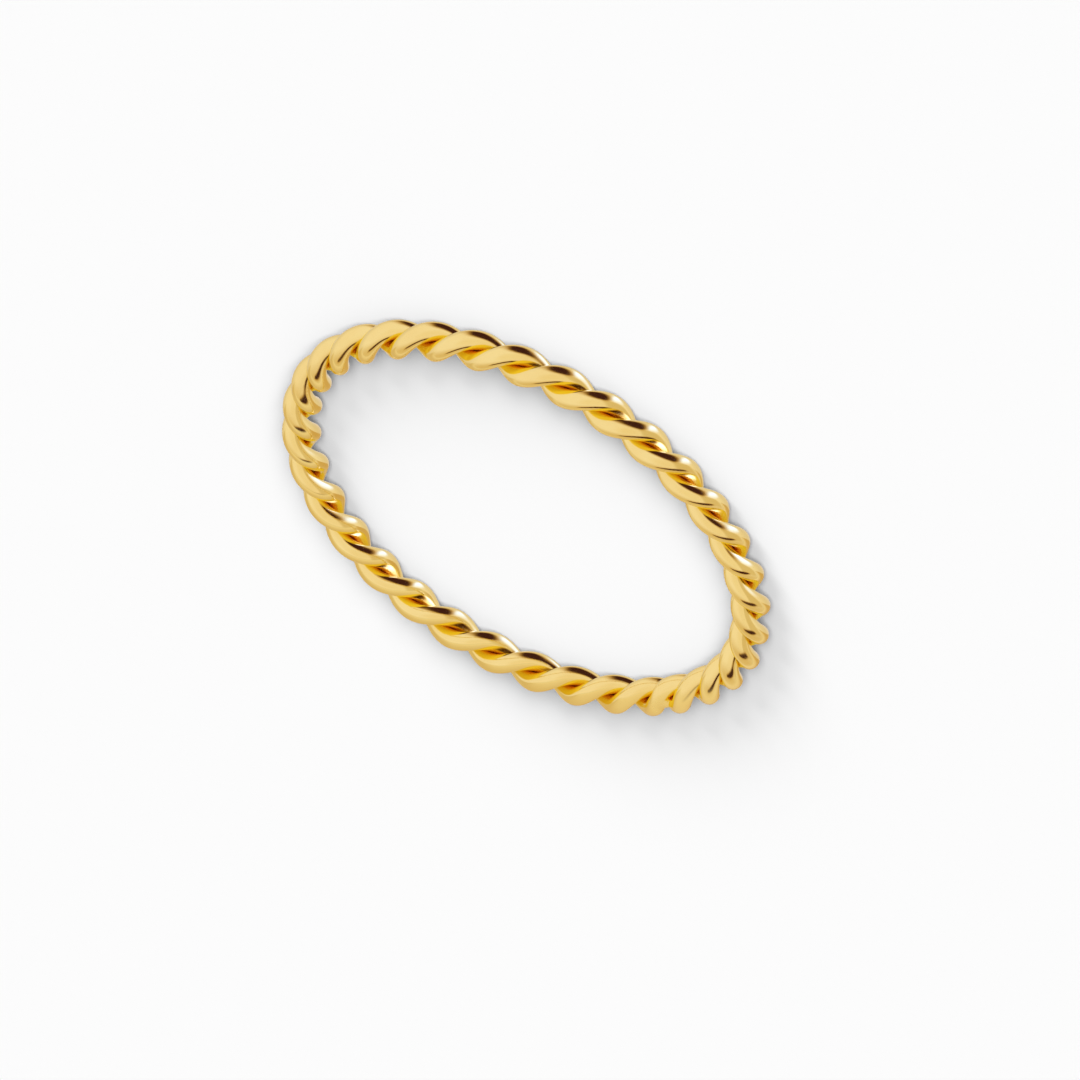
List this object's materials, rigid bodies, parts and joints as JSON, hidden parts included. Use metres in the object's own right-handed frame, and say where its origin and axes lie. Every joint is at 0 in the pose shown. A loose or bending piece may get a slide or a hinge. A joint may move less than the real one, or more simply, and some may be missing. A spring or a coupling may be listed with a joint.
{
  "type": "twisted wire stacking ring",
  "caption": "Thin stacking ring: round gold wires twisted together into a rope, bent into a plain round hoop and soldered end to end, worn on a finger alone or beside others.",
  "frame": {"origin": "centre of the finger hole, half way up the band", "axes": "+Z along the finger's axis, so the ring lies flat in XY; +X and +Y are any two directions across the hole, with the solder joint at 148 degrees counter-clockwise from +X"},
  "size_m": [0.0192, 0.0192, 0.0014],
  "materials": {
    "polished_gold": "mirror-polished yellow gold, faintly hand-scratched",
    "gold_solder": "filed and polished gold solder, a little softer than the wire"
  },
  "bodies": {
    "root": {"strand_a": "polished_gold", "strand_b": "polished_gold", "solder_joint": "gold_solder"}
  },
  "joints": []
}
